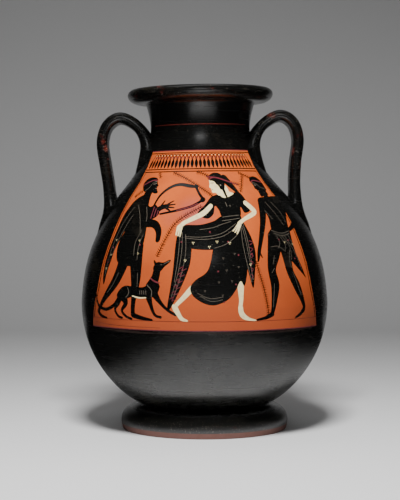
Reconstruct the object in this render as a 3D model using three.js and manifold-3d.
// Pelike: a two-handled jar with a wide mouth and its weight low in the belly, fired as one piece.
// Millimetres, +Z up. The origin is on the ground under the middle of the foot, and the front faces -Y.

import * as THREE from 'three';
import { mergeVertices } from 'three/addons/utils/BufferGeometryUtils.js';
import Module from 'manifold-3d';

// The foot: a thick disc with a rounded edge, hollowed underneath, that leaves a ring to stand on
const FOOT_REST_RADIUS = 82.2;
const FOOT_RADIUS = 83.6;
const FOOT_WIDEST_Z = 9;
const FOOT_TOP_RADIUS = 67;
const FOOT_HEIGHT = 24;
const REST_RING_WIDTH = 15;
const RECESS_DEPTH = 13;

// The body, from the narrow stem over the foot to the widest place and up the shoulder to the neck
const STEM_RADIUS = 59.5;
const BELLY_RADIUS = 123.5;
const BELLY_Z = 128;
const NECK_RADIUS = 49.5;
const NECK_Z = 300;

// The lip: a rounded ring on the flare of the neck
const LIP_Z = 324.5;
const LIP_SEAT_RADIUS = 54.3;
const LIP_RADIUS = 72.7;
const LIP_THICKNESS = 14.8;
const MOUTH_RADIUS = 53;

// The wall, and the floor over the hollow of the foot
const WALL = 5;
const FLOOR = 9;

// The handles: reeded straps that rise beside the neck, arch over and come down to the shoulder
const HANDLE_WIDTH = 38;
const HANDLE_THICKNESS = 11.5;
const HANDLE_REEDS = 3;
const REED_DEPTH = 1.9;
const HANDLE_ROOT_Z = 248;
const HANDLE_SPRING_Z = 286;
const HANDLE_CROWN_X = 78.5;
const HANDLE_CROWN_Z = 311.5;
const HANDLE_REACH = 97.6;
const HANDLE_REACH_Z = 288;
const HANDLE_WAIST = 92.8;
const HANDLE_WAIST_Z = 240;
const HANDLE_FOOT_Z = 186;
const ROOT_SINK = 10;
const ROOT_SPREAD = 7;
const ROOT_SPREAD_HEIGHT = 26;

// The neck and mouth sit a little to the left of the foot, and the mouth dips to that side
const LEAN = 4.3;
const MOUTH_DIP = 0.016;
const LEAN_FROM_Z = 192;
const LEAN_TO_Z = 276;

// How finely the curves are cut into facets
const TURNS = 48;
const LOWER_STEPS = 10;
const UPPER_STEPS = 13;
const FLARE_STEPS = 3;
const EDGE_STEPS = 4;
const HANDLE_STEPS = 27;
const REED_STEPS = 4;

const GLOSS_COLOUR = '#0f0d0c';

const wasm = await Module();
wasm.setup();

function point(radius, z) {
  return new THREE.Vector2(radius, z);
}

// The lower body swells quickly from the stem and then rises almost straight
function lowerBody() {
  const outline = [];
  for (let i = 0; i <= LOWER_STEPS; i++) {
    const t = (i / LOWER_STEPS) ** 1.7;
    const swell = (1 - (1 - t) ** 2.1) ** 0.73;
    outline.push(point(
      THREE.MathUtils.lerp(STEM_RADIUS, BELLY_RADIUS, swell),
      THREE.MathUtils.lerp(FOOT_HEIGHT, BELLY_Z, t)));
  }
  return outline;
}

// The shoulder is one long S from the widest place to the neck:
// [share of the rise, share of the narrowing]
function upperBody() {
  const shares = [[-0.1, 0.02], [0, 0], [0.13, 0.031], [0.25, 0.091], [0.366, 0.189], [0.483, 0.325],
    [0.6, 0.511], [0.715, 0.73], [0.83, 0.902], [0.93, 0.984], [1, 1], [1.1, 0.99]];
  const curve = new THREE.SplineCurve(shares.map(([rise, narrowing]) => point(
    THREE.MathUtils.lerp(BELLY_RADIUS, NECK_RADIUS, narrowing),
    THREE.MathUtils.lerp(BELLY_Z, NECK_Z, rise))));
  const first = 1 / (shares.length - 1);
  const last = 1 - first;
  const outline = [];
  for (let i = 1; i <= UPPER_STEPS; i++) {
    outline.push(curve.getPoint(THREE.MathUtils.lerp(first, last, i / UPPER_STEPS)));
  }
  return outline;
}

// The neck flares out to carry the lip
function neckFlare() {
  const outline = [];
  for (let i = 1; i <= FLARE_STEPS; i++) {
    const t = i / FLARE_STEPS;
    outline.push(point(
      THREE.MathUtils.lerp(NECK_RADIUS, LIP_SEAT_RADIUS, t ** 1.7),
      THREE.MathUtils.lerp(NECK_Z, LIP_Z, t)));
  }
  return outline;
}

const bodyOutline = [...lowerBody(), ...upperBody(), ...neckFlare()];

function outerRadiusAt(z) {
  const above = bodyOutline.findIndex((place, i) => i > 0 && place.y >= z);
  const high = bodyOutline[above];
  const low = bodyOutline[above - 1];
  return THREE.MathUtils.mapLinear(z, low.y, high.y, low.x, high.x);
}

// The underside: a ring to stand on around a shallow domed hollow
function footUnderside() {
  const inner = FOOT_REST_RADIUS - REST_RING_WIDTH;
  return [
    point(0, RECESS_DEPTH),
    point(inner * 0.6, RECESS_DEPTH * 0.94),
    point(inner * 0.9, RECESS_DEPTH * 0.7),
    point(inner, 0)];
}

function footEdge() {
  const side = new THREE.Path();
  side.moveTo(FOOT_REST_RADIUS, 0);
  side.bezierCurveTo(
    FOOT_RADIUS, FOOT_WIDEST_Z * 0.35,
    FOOT_RADIUS, FOOT_WIDEST_Z * 0.7,
    FOOT_RADIUS, FOOT_WIDEST_Z);
  side.bezierCurveTo(
    FOOT_RADIUS, THREE.MathUtils.lerp(FOOT_WIDEST_Z, FOOT_HEIGHT, 0.6),
    THREE.MathUtils.lerp(FOOT_TOP_RADIUS, FOOT_RADIUS, 0.6), FOOT_HEIGHT,
    FOOT_TOP_RADIUS, FOOT_HEIGHT);
  return [...side.curves[0].getPoints(3), ...side.curves[1].getPoints(EDGE_STEPS + 1).slice(1)];
}

// The lip's section: a flat underside, a full round edge and a top that slopes gently in to the mouth
function lipEdge() {
  const top = LIP_Z + LIP_THICKNESS;
  const middle = LIP_Z + LIP_THICKNESS * 0.62;
  const seat = THREE.MathUtils.lerp(LIP_SEAT_RADIUS, LIP_RADIUS, 0.5);
  const crown = THREE.MathUtils.lerp(LIP_SEAT_RADIUS, LIP_RADIUS, 0.7);
  const side = new THREE.Path();
  side.moveTo(seat, LIP_Z + LIP_THICKNESS * 0.05);
  side.bezierCurveTo(
    LIP_RADIUS - LIP_THICKNESS * 0.12, LIP_Z + LIP_THICKNESS * 0.06,
    LIP_RADIUS, LIP_Z + LIP_THICKNESS * 0.32,
    LIP_RADIUS, middle);
  side.bezierCurveTo(
    LIP_RADIUS, LIP_Z + LIP_THICKNESS * 0.88,
    THREE.MathUtils.lerp(crown, LIP_RADIUS, 0.6), top,
    crown, top);
  return [...side.curves[0].getPoints(EDGE_STEPS), ...side.curves[1].getPoints(EDGE_STEPS).slice(1),
    point(MOUTH_RADIUS, top - LIP_THICKNESS * 0.06)];
}

// The inner wall keeps the thickness of the clay behind the outer one, down to a bowl-shaped floor
function innerOutline() {
  const floor = RECESS_DEPTH + FLOOR;
  const inner = [];
  bodyOutline.forEach((place, i) => {
    const before = bodyOutline[Math.max(i - 1, 0)];
    const after = bodyOutline[Math.min(i + 1, bodyOutline.length - 1)];
    const along = after.clone().sub(before).normalize();
    inner.push(point(place.x - along.y * WALL, place.y + along.x * WALL));
  });
  const wall = inner.filter((place, i) => i % 2 === 1 && place.y > floor + WALL && place.y < LIP_Z);
  const rim = LIP_Z + LIP_THICKNESS;
  return [
    point(0, floor),
    point(STEM_RADIUS * 0.55, floor + 1),
    ...wall,
    point(THREE.MathUtils.lerp(NECK_RADIUS - WALL, MOUTH_RADIUS, 0.5), LIP_Z + LIP_THICKNESS * 0.35),
    point(MOUTH_RADIUS - 1.5, rim - LIP_THICKNESS * 0.25),
    point(MOUTH_RADIUS, rim - LIP_THICKNESS * 0.06),
    point(MOUTH_RADIUS, rim + WALL),
    point(0, rim + WALL)];
}

function turned(outline) {
  const geometry = new THREE.LatheGeometry(outline, TURNS);
  geometry.rotateX(Math.PI / 2);
  return geometry;
}

// Half of a strap's section is a row of round reeds, tapered at the strap's two edges
function strapSection() {
  const count = HANDLE_REEDS * REED_STEPS;
  const half = [];
  for (let i = 0; i <= count; i++) {
    const across = (i / count) * 2 - 1;
    const edge = Math.sqrt(Math.sqrt(Math.max(1 - Math.abs(across) ** 5, 0)));
    const groove = 1 - Math.abs(Math.sin((i / REED_STEPS) * Math.PI)) ** 0.7;
    half.push(point(across * HANDLE_WIDTH / 2, edge * (HANDLE_THICKNESS / 2 - REED_DEPTH * groove)));
  }
  const back = half.slice(1, -1).reverse().map((place) => point(place.x, -place.y));
  return new THREE.Shape([...back, ...half].reverse());
}

// The place between two others, by its share of the way across and of the way up or down
function between(first, second, across, along) {
  return point(
    THREE.MathUtils.lerp(first.x, second.x, across),
    THREE.MathUtils.lerp(first.y, second.y, along));
}

// The strap's middle line, with one place between each two named ones to round its bends
function handlePath() {
  const root = point(outerRadiusAt(HANDLE_ROOT_Z) - ROOT_SINK, HANDLE_ROOT_Z);
  const spring = point(outerRadiusAt(HANDLE_SPRING_Z) + HANDLE_THICKNESS * 0.28, HANDLE_SPRING_Z);
  const crown = point(HANDLE_CROWN_X, HANDLE_CROWN_Z);
  const reach = point(HANDLE_REACH, HANDLE_REACH_Z);
  const waist = point(HANDLE_WAIST, HANDLE_WAIST_Z);
  const foot = point(outerRadiusAt(HANDLE_FOOT_Z) - ROOT_SINK, HANDLE_FOOT_Z);
  const places = [
    root,
    between(root, spring, 0.75, 0.5),
    spring,
    between(spring, crown, 0.3, 0.62),
    crown,
    between(crown, reach, 0.7, 0.28),
    reach,
    between(waist, reach, 0.42, 0.5),
    waist,
    between(waist, foot, 0.22, 0.5),
    foot];
  return new THREE.CatmullRomCurve3(places.map((place) => new THREE.Vector3(place.x, 0, place.y)));
}

// A strap widens where its ends are smoothed into the wall
function strap() {
  const geometry = new THREE.ExtrudeGeometry(strapSection(), {
    extrudePath: handlePath(), steps: HANDLE_STEPS, bevelEnabled: false });
  const places = geometry.attributes.position;
  for (let i = 0; i < places.count; i++) {
    const z = places.getZ(i);
    const lower = THREE.MathUtils.clamp(1 - (z - HANDLE_FOOT_Z) / ROOT_SPREAD_HEIGHT, 0, 1.3);
    const inner = places.getX(i) < HANDLE_CROWN_X - HANDLE_THICKNESS ? 1 : 0;
    const upper = inner * THREE.MathUtils.clamp(1 - (z - HANDLE_ROOT_Z) / ROOT_SPREAD_HEIGHT, 0, 1);
    const widening = 1 + (2 * ROOT_SPREAD / HANDLE_WIDTH) * (lower ** 2 + upper ** 2);
    places.setY(i, places.getY(i) * widening);
  }
  return geometry;
}

function solidOf(geometry) {
  const bare = geometry.clone();
  bare.deleteAttribute('normal');
  bare.deleteAttribute('uv');
  const merged = mergeVertices(bare, 0.001);
  const corners = merged.index.array;
  const kept = [];
  for (let i = 0; i < corners.length; i += 3) {
    const [a, b, c] = corners.slice(i, i + 3);
    if (a !== b && b !== c && c !== a) kept.push(a, b, c);
  }
  return new wasm.Manifold(new wasm.Mesh({
    numProp: 3,
    vertProperties: Float32Array.from(merged.attributes.position.array),
    triVerts: Uint32Array.from(kept) }));
}

function geometryOf(solid) {
  const mesh = solid.getMesh();
  const geometry = new THREE.BufferGeometry();
  geometry.setAttribute('position', new THREE.Float32BufferAttribute(mesh.vertProperties, 3));
  geometry.setIndex(Array.from(mesh.triVerts));
  return geometry;
}

// Moves everything above the shoulder sideways and tips it, as the soft clay slumped
function leaned(geometry) {
  const places = geometry.attributes.position;
  for (let i = 0; i < places.count; i++) {
    const x = places.getX(i);
    const z = places.getZ(i);
    const share = THREE.MathUtils.smoothstep(z, LEAN_FROM_Z, LEAN_TO_Z);
    places.setX(i, x - LEAN * share);
    places.setZ(i, z + MOUTH_DIP * x * share);
  }
  geometry.computeVertexNormals();
  return geometry;
}

function makePelike() {
  const outline = [...footUnderside(), ...footEdge(), ...bodyOutline, ...lipEdge()];
  outline.push(point(0, LIP_Z + LIP_THICKNESS * 0.94));
  const right = strap();
  const left = right.clone().rotateZ(Math.PI);
  const jar = solidOf(turned(outline))
    .add(solidOf(right))
    .add(solidOf(left))
    .subtract(solidOf(turned(innerOutline())));
  const gloss = new THREE.MeshStandardMaterial({ color: GLOSS_COLOUR, roughness: 0.3, metalness: 0 });
  const mesh = new THREE.Mesh(leaned(geometryOf(jar)), gloss);
  mesh.name = 'pelike';
  return mesh;
}

const pelike = new THREE.Group();
pelike.add(makePelike());

export default pelike;
